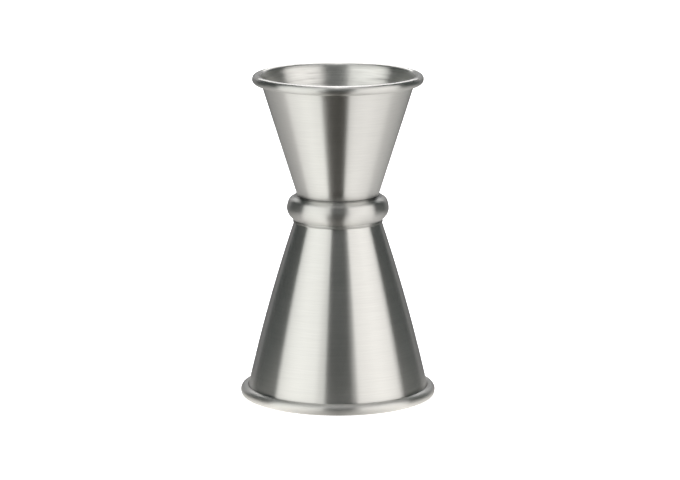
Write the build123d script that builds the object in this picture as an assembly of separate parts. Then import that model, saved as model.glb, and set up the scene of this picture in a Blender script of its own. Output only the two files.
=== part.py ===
from build123d import *
import os
from math import acos, atan, atan2, cos, degrees, radians, sin, sqrt

# A double-ended bar measure: two conical cups joined floor to floor, with a pressed ring around the joint.
# Millimetres and degrees. +Z is up, the axis of the measure is Z, and the large rim rests on z = 0.

# All three pressings are made from one gauge of sheet.
SHEET = 0.5

# Large cup, which opens downwards.
LARGE_HEIGHT = 52.3        # outside of the floor to the rim
LARGE_FOOT_DIA = 19.78     # outside of the wall, carried to the floor's outside face
LARGE_RIM_DIA = 52.0       # over the rolled rim
LARGE_BEAD_DIA = 2.96      # thickness of the roll
LARGE_BEND = 0.16          # inside radius where the wall turns into the roll
LARGE_BULGE = 0.81         # how far the middle of the wall stands out from a straight cone
LARGE_CORNER = 2.2         # outside radius between floor and wall

# Small cup, which opens upwards.
SMALL_HEIGHT = 34.2
SMALL_FOOT_DIA = 20.46
SMALL_RIM_DIA = 45.36
SMALL_BEAD_DIA = 2.55
SMALL_BEND = 0.7
SMALL_BULGE = 0.0
SMALL_CORNER = 2.2

# Both rims.
RIM_LAP = 0.02             # how much is trued off the crest of each roll, which leaves a narrow flat
CURL_GAP = 0.12            # between the sheet's edge at the end of the roll and the wall

# Collar: heights are from the plane where the two floors meet, and stand-offs from the nearest cup wall.
COLLAR_TOP_RISE = 1.85
COLLAR_TOP_STAND = 0.64
COLLAR_SHOULDER_RISE = 0.95
COLLAR_SHOULDER_STAND = 2.18
COLLAR_BELLY_DROP = 2.83
COLLAR_BELLY_STAND = 3.26
COLLAR_SKIRT_DROP = 5.01
COLLAR_SKIRT_STAND = 0.25
COLLAR_EDGE = 0.2          # height of the small upright face at the foot of the skirt
COLLAR_TOP_RADIUS = 1.3
COLLAR_SHOULDER_RADIUS = 1.39
COLLAR_BELLY_RADIUS = 3.41

# Spot welds through the two floors.
WELD_COUNT = 3
WELD_CIRCLE_DIA = 10.0
WELD_DIA = 3.0
WELD_DEPTH = 0.3           # how far each nugget reaches into each floor
DIMPLE_DIA = 3.6           # mark that the electrode leaves on the inside of each floor
DIMPLE_DEPTH = 0.08

LEAN_STEPS = 12            # repeats that settle the wall's lean to far below a micrometre


def polar(centre, radius, angle):
    """The point at an angle in degrees on a circle in the section plane."""
    return centre + Vector(cos(radians(angle)), sin(radians(angle))) * radius


class Cup:
    """A cup drawn mouth up, with the outside of its floor at height 0. X is the radius and Y the height."""

    def __init__(self, height, foot_dia, rim_dia, bead_dia, bend, bulge, corner):
        self.height = height
        self.bulge = bulge
        self.corner = corner
        self.bend = bend
        self.bead = bead_dia / 2
        self.foot = Vector(foot_dia / 2, 0)
        crest = height + RIM_LAP
        self.bead_centre = Vector(rim_dia / 2 - self.bead, crest - self.bead)
        self.bend_centre = Vector(self.bead_centre.X, crest - bend - SHEET)
        self.lean = 0.0
        for _ in range(LEAN_STEPS):
            self.mouth = polar(self.bend_centre, bend, 180 - self.lean)
            chord = self.mouth - self.foot
            self.lean = degrees(atan2(chord.X, chord.Y) - 2 * atan(2 * bulge / chord.length))

    def wall_point(self, height, inset):
        """The point at a height on the wall's section, inset into the sheet from its outside."""
        chord = self.mouth - self.foot
        outward = Vector(chord.Y, -chord.X) / chord.length
        if self.bulge == 0:
            start = self.foot - outward * inset
            return start + chord * ((height - start.Y) / chord.Y)
        radius = (chord.length ** 2 / 4 + self.bulge ** 2) / (2 * self.bulge)
        centre = self.foot + chord / 2 - outward * (radius - self.bulge)
        across = sqrt((radius - inset) ** 2 - (height - centre.Y) ** 2)
        return Vector(centre.X + across, height)

    def radius(self, height):
        """Outside radius of the wall at a height."""
        return self.wall_point(height, 0).X

    def wall(self, low, high, inset):
        """The wall's edge in section between two heights."""
        start = self.wall_point(low, inset)
        end = self.wall_point(high, inset)
        if self.bulge == 0:
            return Line(start, end)
        return ThreePointArc(start, self.wall_point((low + high) / 2, inset), end)

    def envelope(self):
        """The cup filled in, up to its mouth, as its neighbours meet it."""
        top = Vector(0, self.mouth.Y)
        edges = [
            Line((0, 0), self.foot),
            self.wall(0, self.mouth.Y, 0),
            Line(self.mouth, top),
            Line(top, (0, 0)),
        ]
        section = make_face(edges)
        section = fillet(section.vertices().sort_by_distance(self.foot)[0], self.corner)
        return revolve(Plane.XZ * section, Axis.Z)

    def shell(self):
        """The drawn cup: floor, wall and rolled rim in one sheet, with the crest of the roll trued flat."""
        wet_mouth = polar(self.bend_centre, self.bend + SHEET, 180 - self.lean)
        wet_foot = self.wall_point(SHEET, SHEET)
        reach = (self.bead_centre - self.mouth).dot(polar(Vector(0, 0), 1, -self.lean))
        curl_end = -self.lean - degrees(acos((CURL_GAP - reach) / self.bead))
        curl = curl_end - 90
        turn = 90 - self.lean
        edges = [
            Line((0, 0), self.foot),
            self.wall(0, self.mouth.Y, 0),
            CenterArc(self.bend_centre, self.bend, 90, turn),
            CenterArc(self.bead_centre, self.bead - SHEET, 90, curl),
            Line(
                polar(self.bead_centre, self.bead - SHEET, curl_end),
                polar(self.bead_centre, self.bead, curl_end),
            ),
            CenterArc(self.bead_centre, self.bead, 90, curl),
            CenterArc(self.bend_centre, self.bend + SHEET, 90, turn),
            self.wall(SHEET, wet_mouth.Y, SHEET),
            Line(wet_foot, (0, SHEET)),
            Line((0, SHEET), (0, 0)),
        ]
        section = make_face(edges)
        section = fillet(section.vertices().sort_by_distance(self.foot)[0], self.corner)
        section = fillet(section.vertices().sort_by_distance(wet_foot)[0], self.corner - SHEET)
        body = revolve(Plane.XZ * section, Axis.Z)
        return split(body, Plane.XY.offset(self.height), keep=Keep.BOTTOM)


def weld_places():
    """The spot welds' places on the plane where the floors meet."""
    return PolarLocations(WELD_CIRCLE_DIA / 2, WELD_COUNT)


def weld_nuggets():
    """The fused nuggets, each half in one floor and half in the other."""
    return [place * Cylinder(WELD_DIA / 2, 2 * WELD_DEPTH) for place in weld_places()]


def electrode_mark():
    """The shallow dished hollow that the electrode leaves in the inside face of a floor."""
    ball = DIMPLE_DIA ** 2 / (8 * DIMPLE_DEPTH) + DIMPLE_DEPTH / 2
    disc = Pos(0, 0, SHEET) * Cylinder(DIMPLE_DIA / 2, 2 * DIMPLE_DEPTH)
    return disc & Pos(0, 0, SHEET - DIMPLE_DEPTH + ball) * Sphere(ball)


def welded(shell):
    """A cup's shell with room for the nuggets in its floor and an electrode mark over each."""
    marks = [place * electrode_mark() for place in weld_places()]
    return shell - weld_nuggets() - marks


def collar_ring(small, large):
    """The hollow pressed ring around the joint, cut to seat on both walls."""
    top_wall = small.radius(COLLAR_TOP_RISE)
    top = Vector(top_wall + COLLAR_TOP_STAND, COLLAR_TOP_RISE)
    shoulder = Vector(top_wall + COLLAR_SHOULDER_STAND, COLLAR_SHOULDER_RISE)
    belly = Vector(large.radius(COLLAR_BELLY_DROP) + COLLAR_BELLY_STAND, -COLLAR_BELLY_DROP)
    skirt = Vector(large.radius(COLLAR_SKIRT_DROP) + COLLAR_SKIRT_STAND, -COLLAR_SKIRT_DROP)
    edge = Vector(skirt.X, skirt.Y - COLLAR_EDGE)
    outline = Polyline((0, top.Y), top, shoulder, belly, skirt, edge, (0, edge.Y), close=True)
    outer = make_face(outline)
    for corner, radius in (
        (top, COLLAR_TOP_RADIUS),
        (shoulder, COLLAR_SHOULDER_RADIUS),
        (belly, COLLAR_BELLY_RADIUS),
    ):
        outer = fillet(outer.vertices().sort_by_distance(corner)[0], radius)
    inner = offset(outer, -SHEET)
    ring = revolve(Plane.XZ * outer, Axis.Z) - revolve(Plane.XZ * inner, Axis.Z)
    return ring - small.envelope() - Rot(180, 0, 0) * large.envelope()


large_cup = Cup(
    LARGE_HEIGHT, LARGE_FOOT_DIA, LARGE_RIM_DIA, LARGE_BEAD_DIA, LARGE_BEND, LARGE_BULGE, LARGE_CORNER
)
small_cup = Cup(
    SMALL_HEIGHT, SMALL_FOOT_DIA, SMALL_RIM_DIA, SMALL_BEAD_DIA, SMALL_BEND, SMALL_BULGE, SMALL_CORNER
)

pieces = {
    "large_cup": Rot(180, 0, 0) * welded(large_cup.shell()),
    "small_cup": welded(small_cup.shell()),
    "collar": collar_ring(small_cup, large_cup),
    "spot_welds": Compound(weld_nuggets()),
}

os.makedirs("parts", exist_ok=True)
for name, piece in pieces.items():
    export_step(Pos(0, 0, LARGE_HEIGHT) * piece, f"parts/{name}.step")
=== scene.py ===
from math import acos, atan, atan2, ceil, cos, degrees, exp, pi, radians, sin, sqrt

import bpy
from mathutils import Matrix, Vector


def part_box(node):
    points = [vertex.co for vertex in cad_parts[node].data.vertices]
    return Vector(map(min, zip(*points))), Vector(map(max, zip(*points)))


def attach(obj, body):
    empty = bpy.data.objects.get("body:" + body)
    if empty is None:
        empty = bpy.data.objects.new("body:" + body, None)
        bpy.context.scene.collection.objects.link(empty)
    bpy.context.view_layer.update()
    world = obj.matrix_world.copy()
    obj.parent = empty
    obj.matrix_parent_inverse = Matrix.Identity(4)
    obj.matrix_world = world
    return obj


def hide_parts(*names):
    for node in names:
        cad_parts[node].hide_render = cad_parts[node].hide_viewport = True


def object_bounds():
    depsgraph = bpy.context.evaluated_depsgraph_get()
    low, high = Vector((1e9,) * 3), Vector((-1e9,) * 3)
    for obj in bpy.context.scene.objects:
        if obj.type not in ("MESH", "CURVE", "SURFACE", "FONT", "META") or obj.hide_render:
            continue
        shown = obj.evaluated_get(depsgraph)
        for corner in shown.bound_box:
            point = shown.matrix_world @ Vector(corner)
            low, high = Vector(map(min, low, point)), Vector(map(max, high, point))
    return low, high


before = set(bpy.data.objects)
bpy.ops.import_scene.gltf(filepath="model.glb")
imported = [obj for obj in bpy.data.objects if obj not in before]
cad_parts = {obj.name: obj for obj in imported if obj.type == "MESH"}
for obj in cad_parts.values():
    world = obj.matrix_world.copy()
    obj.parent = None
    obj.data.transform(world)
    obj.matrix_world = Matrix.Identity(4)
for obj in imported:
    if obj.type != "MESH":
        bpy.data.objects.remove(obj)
cad_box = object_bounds()

# A double-ended bar measure: two conical cups joined floor to floor, with a pressed ring around the joint.
# Metres and degrees. The axis of the measure is Z and the large rim rests on z = 0.
MM = 0.001

# ---------------------------------------------------------------- sizes

HEIGHT = cad_box[1].z
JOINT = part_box("small_cup")[0].z            # plane where the two floors meet
SHEET = 0.5 * MM
RIM_LAP = 0.02 * MM                         # trued off the crest of each roll
CURL_GAP = 0.12 * MM                        # between the end of the roll and the wall

LARGE_FOOT_DIA = 19.78 * MM
LARGE_BEAD_DIA = 2.96 * MM
LARGE_BEND = 0.16 * MM
LARGE_BULGE = 0.81 * MM
SMALL_FOOT_DIA = 20.46 * MM
SMALL_BEAD_DIA = 2.55 * MM
SMALL_BEND = 0.7 * MM
SMALL_BULGE = 0.0
FOOT_CORNER = 2.2 * MM                      # outside radius between floor and wall, on both cups

# Collar: heights are from the joint and stand-offs from the nearest cup wall.
TOP_RISE = 1.85 * MM
TOP_STAND = 0.64 * MM
SHOULDER_RISE = 0.95 * MM
SHOULDER_STAND = 2.18 * MM
BELLY_DROP = 2.83 * MM
BELLY_STAND = 3.26 * MM
SKIRT_DROP = 5.01 * MM
SKIRT_STAND = 0.25 * MM
SKIRT_EDGE = 0.2 * MM
TOP_RADIUS = 1.3 * MM
SHOULDER_RADIUS = 1.39 * MM
BELLY_RADIUS = 3.41 * MM
SEAM_ROUND = 0.24 * MM                      # upper edge of the ring, which leaves the seam by the cup
LIP_OUT = 0.28 * MM                         # how far the foot of the skirt turns out
LIP_DROP = 0.45 * MM                        # over how much of its height
LIP_ROUND = 0.09 * MM

WELD_COUNT = 3
WELD_CIRCLE = 5.0 * MM
MARK_RADIUS = 1.8 * MM                      # dished mark of the welding electrode
MARK_DEPTH = 0.08 * MM
HEAT_RADIUS = 2.3 * MM                      # reach of the faint heat colour round each mark
HEAT_FALL = 4                               # how sharply that colour ends

# Mesh steps.
AROUND = 288
STEP = 0.8 * MM
FLOOR_STEP = 0.2 * MM
ARC_STEP = 7.0                              # degrees
SHARP = 32                                  # degrees, edges sharper than this are not smoothed
CLOSEST = 0.004 * MM
LEAN_STEPS = 12

# What each stretch of an outline is: how much it counts as inside a cup, and how polished it is, which is
# negative where it is scuffed.
OUTSIDE = (0.0, 0.0)
CREST = (0.0, 1.0)
ROLL = (0.0, -0.8)
CUT_EDGE = (0.0, -3.5)
INSIDE = (1.0, -0.5)
CREST_DEPTH = 0.45 * MM                     # the top of a roll, rubbed bright where the measure stands on it


# ---------------------------------------------------------------- outlines, as (radius, height)

def polar(centre, radius, angle):
    return centre + Vector((cos(radians(angle)), sin(radians(angle)))) * radius


def arc(centre, radius, start, end):
    """Points along an arc, both ends included."""
    steps = max(2, ceil(abs(end - start) / ARC_STEP))
    return [polar(centre, radius, start + (end - start) * i / steps) for i in range(steps + 1)]


def straight(start, end, step=STEP):
    """Points between two ends, both left out."""
    steps = max(1, ceil((end - start).length / step))
    return [start.lerp(end, i / steps) for i in range(1, steps)]


def angle_from(centre, point):
    return degrees(atan2(point.y - centre.y, point.x - centre.x))


def rounded(before, corner, after, radius):
    """The arc that rounds a corner of an outline."""
    a = (before - corner).normalized()
    b = (after - corner).normalized()
    half = acos(max(-1.0, min(1.0, a.dot(b)))) / 2
    reach = radius * cos(half) / sin(half)
    centre = corner + (a + b).normalized() * (radius / sin(half))
    first = angle_from(centre, corner + a * reach)
    turn = (angle_from(centre, corner + b * reach) - first + 180) % 360 - 180
    return arc(centre, radius, first, first + turn)


def rounded_line(corners, radii):
    """Points along a line through corners that are rounded, both ends included."""
    points = [corners[0]]
    for before, corner, after, radius in zip(corners, corners[1:], corners[2:], radii):
        bend = rounded(before, corner, after, radius)
        points += straight(points[-1], bend[0]) + bend
    return points + straight(points[-1], corners[-1]) + [corners[-1]]


def inset(points, depth):
    """The line moved sideways by a depth, to its right as it runs."""
    moved = []
    for i, p in enumerate(points):
        way = (points[min(i + 1, len(points) - 1)] - points[max(i - 1, 0)]).normalized()
        moved.append(p + Vector((way.y, -way.x)) * depth)
    return moved


class Cup:
    """A cup in section, mouth up, with the outside of its floor at height 0."""

    def __init__(self, height, foot_dia, node, bead_dia, bend, bulge):
        rim_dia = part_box(node)[1].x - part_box(node)[0].x
        self.height = height
        self.bulge = bulge
        self.bend = bend
        self.bead = bead_dia / 2
        self.foot = Vector((foot_dia / 2, 0))
        crest = height + RIM_LAP
        self.bead_centre = Vector((rim_dia / 2 - self.bead, crest - self.bead))
        self.bend_centre = Vector((self.bead_centre.x, crest - bend - SHEET))
        self.lean = 0.0
        for _ in range(LEAN_STEPS):
            self.mouth = polar(self.bend_centre, bend, 180 - self.lean)
            chord = self.mouth - self.foot
            self.lean = degrees(atan2(chord.x, chord.y) - 2 * atan(2 * bulge / chord.length))

    def wall_point(self, height, depth):
        """The point at a height on the wall, at a depth into the sheet from its outside."""
        chord = self.mouth - self.foot
        outward = Vector((chord.y, -chord.x)) / chord.length
        if self.bulge == 0:
            start = self.foot - outward * depth
            return start + chord * ((height - start.y) / chord.y)
        radius = (chord.length ** 2 / 4 + self.bulge ** 2) / (2 * self.bulge)
        centre = self.foot + chord / 2 - outward * (radius - self.bulge)
        return Vector((centre.x + sqrt((radius - depth) ** 2 - (height - centre.y) ** 2), height))

    def radius(self, height):
        return self.wall_point(height, 0).x

    def wall(self, start, end, depth):
        """Points along the wall between two heights, both ends left out."""
        steps = ceil(abs(end - start) / STEP)
        return [self.wall_point(start + (end - start) * i / steps, depth) for i in range(1, steps)]

    def corner_arc(self, depth):
        """The arc between floor and wall, from the floor up."""
        foot = self.wall_point(depth, depth)
        above = self.wall_point(depth + FOOT_CORNER, depth)
        return rounded(Vector((0, depth)), foot, above, FOOT_CORNER - depth)

    def section(self):
        """The sheet's outline: out under the floor, up the wall, round the roll and back down inside."""
        up = 180 - self.lean
        reach = (self.bead_centre - self.mouth).dot(polar(Vector((0, 0)), 1, -self.lean))
        curl_end = -self.lean - degrees(acos((CURL_GAP - reach) / self.bead))
        cut = SHEET / 2
        cut_centre = polar(self.bead_centre, self.bead - cut, curl_end)
        under = self.corner_arc(0)
        wet = self.corner_arc(SHEET)
        wet_mouth = polar(self.bend_centre, self.bend + SHEET, up)
        axis_under = Vector((0, 0))
        axis_wet = Vector((0, SHEET))
        outside = [axis_under] + straight(axis_under, under[0]) + under
        outside += self.wall(under[-1].y, self.mouth.y, 0)
        roll = arc(self.bend_centre, self.bend, up, 90)
        roll += arc(self.bead_centre, self.bead - SHEET, 90, curl_end)
        roll += arc(cut_centre, cut, curl_end - 180, curl_end - 360)[1:-1]
        roll += arc(self.bead_centre, self.bead, curl_end, 90)
        roll += arc(self.bend_centre, self.bend + SHEET, 90, up)
        inside = self.wall(wet_mouth.y, wet[-1].y, SHEET) + wet[::-1]
        inside += straight(wet[0], axis_wet, FLOOR_STEP) + [axis_wet]
        marked = [(p, OUTSIDE) for p in outside]
        marked += [(p, CREST if p.y > self.height - CREST_DEPTH else ROLL) for p in roll]
        marked += [(p, INSIDE) for p in inside]
        return [(Vector((p.x, min(p.y, self.height))), surface) for p, surface in marked]


large = Cup(JOINT, LARGE_FOOT_DIA, "large_cup", LARGE_BEAD_DIA, LARGE_BEND, LARGE_BULGE)
small = Cup(HEIGHT - JOINT, SMALL_FOOT_DIA, "small_cup", SMALL_BEAD_DIA, SMALL_BEND, SMALL_BULGE)


def collar_section():
    """The ring's closed outline, heights from the joint: down outside, under the foot and back up inside."""
    def by_large(drop, stand):
        return Vector((large.radius(drop) + stand, -drop))
    seat_top = Vector((small.radius(TOP_RISE), TOP_RISE))
    seat_foot = Vector((small.radius(TOP_RISE - SHEET), TOP_RISE - SHEET))
    top = seat_top + Vector((TOP_STAND, 0))
    shoulder = Vector((seat_top.x + SHOULDER_STAND, SHOULDER_RISE))
    belly = by_large(BELLY_DROP, BELLY_STAND)
    neck = by_large(SKIRT_DROP - LIP_DROP, SKIRT_STAND)
    lip = neck + Vector((LIP_OUT, -LIP_DROP))
    lip_foot = Vector((lip.x, -SKIRT_DROP - SKIRT_EDGE))
    foot = by_large(SKIRT_DROP + SKIRT_EDGE, 0)
    edge = rounded_line([seat_foot, seat_top, top], [SEAM_ROUND])
    skin = rounded_line([top + Vector((-TOP_RADIUS, 0)), top, shoulder, belly, neck],
                        [TOP_RADIUS, SHOULDER_RADIUS, BELLY_RADIUS])[1:]
    hem = rounded_line([neck, lip, lip_foot, foot], [LIP_ROUND, LIP_ROUND])
    hollow = inset(skin, SHEET)
    outer = [p for p in edge if p.x < skin[0].x] + skin
    hollow = [p for p in hollow if p.x > large.radius(max(-p.y, 0)) and p.x > small.radius(max(p.y, 0))]
    marked = [(p, OUTSIDE) for p in outer]
    marked += [(p, CUT_EDGE) for p in hem]
    return marked + [(p, OUTSIDE) for p in hollow[::-1]]


def turned(section):
    """The outline upside down, for the cup that opens downwards."""
    return [(Vector((p.x, -p.y)), surface) for p, surface in section]


def raised(section, height):
    """The outline moved up, without points that fall on each other."""
    kept = []
    for p, surface in section:
        if not kept or (p - kept[-1][0] + Vector((0, height))).length > CLOSEST:
            kept.append((p + Vector((0, height)), surface))
    return kept


# ---------------------------------------------------------------- meshes

def lathe(name, section, closed=False, around=AROUND):
    """A body of revolution about Z, in quads, with attributes that say what each stretch of outline is."""
    verts, rings, surfaces = [], [], []
    for p, surface in section:
        count = 1 if p.x < CLOSEST else around
        rings.append([len(verts) + k for k in range(count)])
        for k in range(count):
            turn = 2 * pi * k / around
            verts.append((p.x * cos(turn) * (count > 1), p.x * sin(turn) * (count > 1), p.y))
            surfaces.append(surface)
    faces = []
    for low, high in zip(rings, rings[1:] + (rings[:1] if closed else [])):
        for k in range(around):
            n = (k + 1) % around
            if len(low) == 1:
                faces.append((low[0], high[n], high[k]))
            elif len(high) == 1:
                faces.append((low[k], low[n], high[0]))
            else:
                faces.append((low[k], low[n], high[n], high[k]))
    mesh = bpy.data.meshes.new(name)
    mesh.from_pydata(verts, [], faces)
    for i, attribute in enumerate(("inside", "polish")):
        values = [surface[i] for surface in surfaces]
        mesh.attributes.new(attribute, "FLOAT", "POINT").data.foreach_set("value", values)
    mesh.attributes.new("heat", "FLOAT", "POINT")
    mesh.polygons.foreach_set("use_smooth", [True] * len(mesh.polygons))
    mesh.set_sharp_from_angle(angle=radians(SHARP))
    mesh.update()
    piece = bpy.data.objects.new(name, mesh)
    bpy.context.scene.collection.objects.link(piece)
    return piece


def mark_floor(piece, level, into):
    """Dishes the electrode's marks into the flat of a cup's floor and spreads their heat colour."""
    heat = piece.data.attributes["heat"].data
    for i, vertex in enumerate(piece.data.vertices):
        if abs(vertex.co.z - level) > CLOSEST:
            continue
        for k in range(WELD_COUNT):
            turn = 2 * pi * k / WELD_COUNT
            away = (vertex.co.xy - Vector((cos(turn), sin(turn))) * WELD_CIRCLE).length
            heat[i].value = max(heat[i].value, exp(-(away / HEAT_RADIUS) ** HEAT_FALL))
            if away < MARK_RADIUS:
                vertex.co.z += into * MARK_DEPTH * (1 - (away / MARK_RADIUS) ** 2)


# ---------------------------------------------------------------- steel

BRUSH_FINE = 0.2 * MM                       # spacing of the finest brush lines
BRUSH_BROAD = 0.4 * MM
FINE_DETAIL = 2.0
BROAD_DETAIL = 3.0
FINE_ROUGH = 0.03                           # how far the lines swing the roughness each way
BROAD_ROUGH = 0.025
LINE_LENGTH = 2.6                           # how often a line starts again on its way round
LINE_RELIEF = 0.004 * MM                    # height of the finest lines
RELIEF_STRENGTH = 0.25
INSIDE_TONE = 0.22                          # how far the broad lines swing the tone inside the cups
INSIDE_SPREAD = 0.36                        # how much less directional the brushing is inside the cups
SPREAD_SWING = 3                            # how far the broad lines swing that, in times of it
SEAM_SHADE_HALF = 0.28 * MM                       # reach of the painted shade along the seam, above and below the ring's upper edge
SEAM_SHADE_CORE = SEAM_SHADE_HALF / 3                   # reach of its darkest part
SEAM_SHADE_TONE = 0.55                            # tone of that painted shade, which darkens the colour where the crevice by the ring lies in shadow
SEAM_SCUFF = 1.7 * MM                       # reach of the rougher steel by the seam
SCUFF_ROUGH = 0.12
SCUFF_SPREAD = 0.4                          # how much less directional the brushing is there
SMUDGE = 14 * MM                            # size of the faint smudges
SMUDGE_DETAIL = 2.0
SMUDGE_ROUGH = 0.02
SPECK = 1.3 * MM                            # spacing of the small dark specks
SPECK_CORE = 0.03                           # their full tone and their edge, as shares of that spacing
SPECK_EDGE = 0.09
SPECK_TONE = 0.06
STEEL_TINT = (0.66, 0.655, 0.635)
WELD_TINT = (0.50, 0.49, 0.47)
HEAT_TINT = (0.60, 0.50, 0.36)
ROUND_THE_AXIS = 0.25                       # turn that lays the brushing round the axis, in full turns


class Shader:
    """Builds one material, steel or light, out of small steps."""

    def __init__(self, name):
        self.mat = bpy.data.materials.new(name)
        self.mat.use_nodes = True
        self.tree = self.mat.node_tree
        self.principled = self.tree.nodes["Principled BSDF"]

    def node(self, kind, output, inputs, **settings):
        made = self.tree.nodes.new(kind)
        for key, value in settings.items():
            setattr(made, key, value)
        for key, value in inputs.items():
            self.put(made.inputs[key], value)
        return made.outputs[output]

    def put(self, socket, value):
        if isinstance(value, bpy.types.NodeSocket):
            self.tree.links.new(value, socket)
        else:
            socket.default_value = value

    def math(self, operation, a, b):
        return self.node("ShaderNodeMath", 0, {0: a, 1: b}, operation=operation)

    def swing(self, value, amount):
        """A 0 to 1 value as one that swings about 0 by an amount each way."""
        return self.math("MULTIPLY", self.math("SUBTRACT", value, 0.5), 2 * amount)

    def attribute(self, name):
        return self.node("ShaderNodeAttribute", "Fac", {}, attribute_name=name)

    def lines(self, spacing, detail):
        """Brush lines round the axis: noise that is long on the way round and fine along the section."""
        place = self.node("ShaderNodeTexCoord", "Object", {})
        flat = self.node("ShaderNodeVectorMath", 0, {0: place, 1: (1, 1, 0)}, operation="MULTIPLY")
        way = self.node("ShaderNodeVectorMath", 0, {0: flat}, operation="NORMALIZE")
        way = self.node("ShaderNodeVectorMath", 0, {0: way, "Scale": LINE_LENGTH}, operation="SCALE")
        rise = self.node("ShaderNodeVectorMath", 0, {0: place, 1: (0, 0, 1 / spacing)}, operation="MULTIPLY")
        spot = self.node("ShaderNodeVectorMath", 0, {0: way, 1: rise}, operation="ADD")
        out = self.node("ShaderNodeVectorMath", "Value", {0: flat}, operation="LENGTH")
        out = self.math("MULTIPLY", out, 1 / spacing)
        return self.node("ShaderNodeTexNoise", 0, {"Vector": spot, "W": out, "Scale": 1.0, "Detail": detail},
                         noise_dimensions="4D")

    def by_seam(self, near, far, at_seam, away):
        """A value that changes with distance above and below the seam between the ring and the small cup."""
        place = self.node("ShaderNodeTexCoord", "Object", {})
        height = self.node("ShaderNodeSeparateXYZ", "Z", {0: place})
        off = self.math("ABSOLUTE", self.math("SUBTRACT", height, JOINT + TOP_RISE), 0.0)
        return self.node("ShaderNodeMapRange", 0, {"Value": off, 1: near, 2: far, 3: at_seam, 4: away})


def steel(name, tint, roughness, anisotropic, lines_tone, polish, scuff):
    """Circumferentially brushed stainless steel: lines, smudges, specks, polished edges, weld heat and
    painted shade along the seam by the ring.
    """
    s = Shader(name)
    fine = s.lines(BRUSH_FINE, FINE_DETAIL)
    broad = s.lines(BRUSH_BROAD, BROAD_DETAIL)
    place = s.node("ShaderNodeTexCoord", "Object", {})
    smudge = s.node("ShaderNodeTexNoise", 0, {"Vector": place, "Scale": 1 / SMUDGE, "Detail": SMUDGE_DETAIL})
    speck = s.node("ShaderNodeTexVoronoi", "Distance", {"Vector": place, "Scale": 1 / SPECK})
    speck = s.node("ShaderNodeMapRange", 0, {"Value": speck, 1: SPECK_CORE, 2: SPECK_EDGE, 3: 1.0, 4: 0.0})
    inside = s.attribute("inside")
    polished = s.attribute("polish")
    heat = s.attribute("heat")

    tone = s.math("ADD", s.swing(broad, lines_tone / 2), s.swing(fine, lines_tone))
    tone = s.math("ADD", tone, s.math("MULTIPLY", s.swing(broad, INSIDE_TONE), inside))
    tone = s.math("ADD", tone, 1.0)
    tone = s.math("SUBTRACT", tone, s.math("MULTIPLY", speck, SPECK_TONE))
    # painted shade: the base colour is darkened along the seam between the ring and the small cup, where the
    # crevice is shaded
    seam_shade = s.by_seam(SEAM_SHADE_CORE, SEAM_SHADE_HALF, SEAM_SHADE_TONE, 1.0)
    tone = s.math("MULTIPLY", tone, s.math("MAXIMUM", seam_shade, inside))
    colour = s.node("ShaderNodeMix", 2, {0: heat, 6: (*tint, 1), 7: (*HEAT_TINT, 1)}, data_type="RGBA")
    colour = s.node("ShaderNodeVectorMath", 0, {0: colour, "Scale": tone}, operation="SCALE")
    s.put(s.principled.inputs["Base Color"], colour)

    scuffed = s.math("MULTIPLY", s.by_seam(0.0, SEAM_SCUFF, scuff, 0.0), s.math("SUBTRACT", 1.0, inside))
    rough = s.math("ADD", s.swing(fine, FINE_ROUGH), s.swing(broad, BROAD_ROUGH))
    rough = s.math("ADD", rough, s.math("MULTIPLY", scuffed, SCUFF_ROUGH))
    rough = s.math("ADD", rough, s.swing(smudge, SMUDGE_ROUGH))
    rough = s.math("ADD", rough, roughness)
    rough = s.math("SUBTRACT", rough, s.math("MULTIPLY", polished, polish))
    s.put(s.principled.inputs["Roughness"], rough)

    relief = s.node("ShaderNodeBump", 0,
                    {"Height": fine, "Strength": RELIEF_STRENGTH, "Distance": LINE_RELIEF})
    s.put(s.principled.inputs["Normal"], relief)
    tangent = s.node("ShaderNodeTangent", 0, {}, direction_type="RADIAL", axis="Z")
    s.put(s.principled.inputs["Tangent"], tangent)
    s.principled.inputs["Metallic"].default_value = 1.0
    spread_out = s.math("ADD", s.swing(broad, SPREAD_SWING * INSIDE_SPREAD), INSIDE_SPREAD)
    spread_out = s.math("MULTIPLY", spread_out, inside)
    spread_out = s.math("ADD", spread_out, s.math("MULTIPLY", scuffed, SCUFF_SPREAD))
    s.put(s.principled.inputs["Anisotropic"], s.math("SUBTRACT", anisotropic, spread_out))
    s.principled.inputs["Anisotropic Rotation"].default_value = ROUND_THE_AXIS
    return s.mat


cup_steel = steel(
    "brushed_cup_steel", STEEL_TINT,
    roughness=0.305, anisotropic=0.98, lines_tone=0.08, polish=0.08, scuff=1.0,
)
collar_steel = steel(
    "brushed_collar_steel", STEEL_TINT,
    roughness=0.37, anisotropic=0.96, lines_tone=0.07, polish=0.08, scuff=0.0,
)
weld_steel = steel(
    "fused_weld_steel", WELD_TINT,
    roughness=0.5, anisotropic=0.2, lines_tone=0.03, polish=0.0, scuff=0.0,
)

# ---------------------------------------------------------------- the pieces

large_piece = lathe("large_cup_shell", raised(turned(large.section()), JOINT))
mark_floor(large_piece, JOINT - SHEET, 1)
small_piece = lathe("small_cup_shell", raised(small.section(), JOINT))
mark_floor(small_piece, JOINT + SHEET, -1)
collar_piece = lathe("collar_ring", raised(collar_section(), JOINT), closed=True)
large_piece.data.flip_normals()             # its outline is upside down, so it turned inside out
for piece, node, slot, steel_kind in (
    (large_piece, "large_cup", "cup_steel", cup_steel),
    (small_piece, "small_cup", "cup_steel", cup_steel),
    (collar_piece, "collar", "collar_steel", collar_steel),
):
    piece.data.materials.append(steel_kind)
    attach(piece, "root")
    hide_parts(node)
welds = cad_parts["spot_welds"]
welds.data.materials.clear()
welds.data.materials.append(weld_steel)

# ---------------------------------------------------------------- stage

CENTRE = Vector((0, 0, HEIGHT / 2))
PANEL_DISTANCE = 1.5
PANEL_STEP = 3                              # degrees
FLOOR_REACH = 40 * MM                       # the lit floor close round the foot
FLOOR_GAP = 0.02 * MM
WARM = (1.0, 0.985, 0.96)
WHITE = (1.0, 1.0, 1.0)


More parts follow.
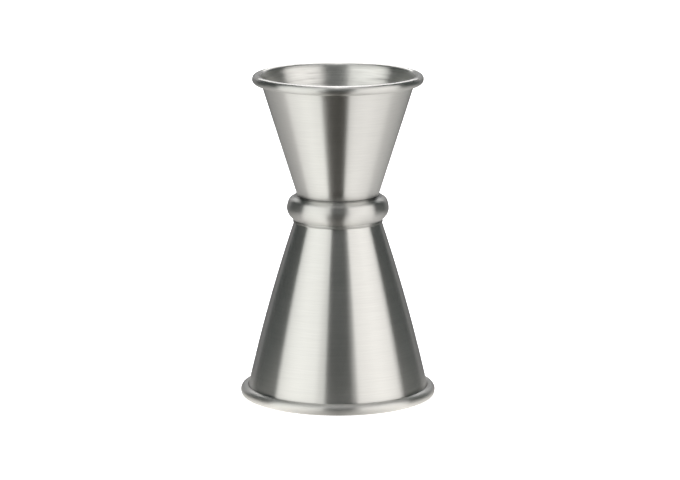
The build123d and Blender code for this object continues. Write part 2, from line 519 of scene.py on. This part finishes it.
def glow_material(name, colour):
    """Light that follows the panel's own glow attribute."""
    s = Shader(name)
    strength = s.attribute("glow")
    light = s.node("ShaderNodeEmission", 0, {"Color": (*colour, 1), "Strength": strength})
    s.put(s.tree.nodes["Material Output"].inputs["Surface"], light)
    s.tree.nodes.remove(s.principled)
    return s.mat


def spread(values, t):
    """The value at t, from 0 to 1, along evenly spaced values."""
    where = t * (len(values) - 1)
    i = min(int(where), len(values) - 2)
    return values[i] + (values[i + 1] - values[i]) * (where - i)


def lit_mesh(name, verts, faces, glow, colour):
    """A staged mesh that only reflections see."""
    mesh = bpy.data.meshes.new(name)
    mesh.from_pydata(verts, [], faces)
    mesh.attributes.new("glow", "FLOAT", "POINT").data.foreach_set("value", glow)
    mesh.materials.append(glow_material(name, colour))
    obj = bpy.data.objects.new(name, mesh)
    bpy.context.scene.collection.objects.link(obj)
    obj.visible_camera = False
    obj.visible_diffuse = False
    obj.visible_shadow = False


def panel(name, sides, ups, strengths, colour=WHITE):
    """A curved light panel. Side 0 is towards the camera and positive to its right, as the strengths run."""
    across = ceil((sides[1] - sides[0]) / PANEL_STEP)
    tall = ceil((ups[1] - ups[0]) / PANEL_STEP)
    verts, glow = [], []
    for j in range(tall + 1):
        up = radians(ups[0] + (ups[1] - ups[0]) * j / tall)
        for i in range(across + 1):
            side = radians(sides[0] + (sides[1] - sides[0]) * i / across)
            way = Vector((sin(side) * cos(up), -cos(side) * cos(up), sin(up)))
            verts.append(CENTRE + way * PANEL_DISTANCE)
            glow.append(spread(strengths, i / across))
    row = across + 1
    starts = [j * row + i for j in range(tall) for i in range(across)]
    faces = [(a, a + 1, a + row + 1, a + row) for a in starts]
    lit_mesh(name, verts, faces, glow, colour)


def near_floor(name, reach, strengths, colour=WHITE):
    """The floor close round the foot, as the underside of the rolled rim sees it; strengths run round it."""
    around = 360 // PANEL_STEP
    verts = [(0, 0, FLOOR_GAP)]
    glow = [sum(strengths) / len(strengths)]
    for i in range(around):
        side = radians(i * PANEL_STEP - 180)
        verts.append((sin(side) * reach, -cos(side) * reach, FLOOR_GAP))
        glow.append(spread(strengths, i / around))
    faces = [(0, 1 + i, 1 + (i + 1) % around) for i in range(around)]
    lit_mesh(name, verts, faces, glow, colour)


# Each panel's span to the sides, its span upwards, and its strengths from left to right.
panel("left_box", (-87, -17), (0, 50), (1.31, 1.48, 1.35), (0.99, 1.0, 0.97))
panel("right_box", (25.5, 93), (0, 50), (1.35, 1.54, 1.4), WARM)
panel("left_table", (-86, -27.5), (-62, 0), (1.15, 1.34, 1.26), (1.0, 1.0, 0.965))
panel("right_table", (18.5, 87), (-62, 0), (1.22, 1.24, 1.03), WARM)
panel("left_far_table", (-180, -86), (-72, -14), (0.45, 0.48, 0.6, 0.69, 0.86, 1.3), WARM)
panel("right_far_table", (87, 180), (-72, -14), (1.0, 0.97, 0.84, 0.7, 0.55, 0.45), WARM)
panel("front_table", (-27.5, 18.5), (-72, 0), (0.068, 0.068), (1.0, 0.93, 0.82))
panel("under", (-180, 180), (-90, -72), (0.4, 0.5, 0.8, 0.22, 0.8, 0.5, 0.4), WARM)
panel("back_wall", (155, 205), (22, 62), (1.8, 2.3, 1.8))
panel("back_middle", (140, 220), (6, 22), (0.4, 0.4))
panel("back_low", (140, 220), (-14, 6), (0.17, 0.17))
panel("high_front", (-40, 40), (48, 62), (0.58, 0.58))
panel("overhead", (-180, 180), (62, 90), (1.8, 0.6, 0.2, 0.7, 1.2, 0.7, 0.2, 0.6, 1.8))
near_floor("near_floor", FLOOR_REACH, (0.4, 0.55, 0.8, 1.9, 0.24, 1.75, 0.8, 0.55, 0.4),
           (1.0, 0.975, 0.93))

FLOOR_EDGE = 2.2                            # where the floor turns up into the backdrop
WALL_RADIUS = 3.0
WALL_TOP = 3.0
WALL_AROUND = 96
PAPER_TONE = 0.9
PAPER_ROUGH = 0.9
PAPER_GLOW = 0.5
backdrop_section = [Vector((0, 0)), Vector((FLOOR_EDGE, 0))]
backdrop_section += arc(Vector((FLOOR_EDGE, WALL_RADIUS - FLOOR_EDGE)), WALL_RADIUS - FLOOR_EDGE, -90, 0)
backdrop_section += [Vector((WALL_RADIUS, WALL_TOP))]
backdrop = lathe("backdrop", [(p, OUTSIDE) for p in backdrop_section], around=WALL_AROUND)
paper = bpy.data.materials.new("pale_paper")
paper.use_nodes = True
paper_shader = paper.node_tree.nodes["Principled BSDF"]
paper_shader.inputs["Base Color"].default_value = (PAPER_TONE, PAPER_TONE, PAPER_TONE, 1)
paper_shader.inputs["Roughness"].default_value = PAPER_ROUGH
paper_shader.inputs["Emission Color"].default_value = (*WHITE, 1)
paper_shader.inputs["Emission Strength"].default_value = PAPER_GLOW
backdrop.data.materials.append(paper)
backdrop.visible_glossy = False
backdrop.visible_shadow = False

LAMP_WIDTH = 1.8
LAMP_HEIGHT = 1.8
LAMP_WATTS = 50
lamp = bpy.data.lights.new("overhead_lamp", "AREA")
lamp.shape = "DISK"
lamp.size = LAMP_WIDTH
lamp.energy = LAMP_WATTS
lamp_holder = bpy.data.objects.new("overhead_lamp", lamp)
lamp_holder.location = (0, 0, LAMP_HEIGHT)
lamp_holder.visible_glossy = False
lamp_holder.visible_camera = False
bpy.context.scene.collection.objects.link(lamp_holder)

ROOM_TONE = (0.047, 0.056, 0.054)           # the dark part of the room, as reflected
world = bpy.data.worlds.new("studio")
world.use_nodes = True
world.node_tree.nodes["Background"].inputs["Color"].default_value = (*ROOM_TONE, 1)
bpy.context.scene.world = world
bpy.context.scene.view_settings.view_transform = "Standard"

# ---------------------------------------------------------------- camera

SENSOR = 36                                 # millimetres, as is the lens
LENS = 184.4
SIDE_SHIFT = 0.0031
CAMERA_BACK = 10.508 * HEIGHT
CAMERA_UP = 2.5597 * HEIGHT
AIM_UP = 0.48435 * HEIGHT
camera_data = bpy.data.cameras.new("camera")
camera_data.sensor_width = SENSOR
camera_data.lens = LENS
camera_data.shift_x = SIDE_SHIFT
camera = bpy.data.objects.new("camera", camera_data)
camera.location = (0, -CAMERA_BACK, CAMERA_UP)
aim = Vector((0, 0, AIM_UP)) - camera.location
camera.rotation_euler = aim.to_track_quat("-Z", "Y").to_euler()
bpy.context.scene.collection.objects.link(camera)
bpy.context.scene.camera = camera
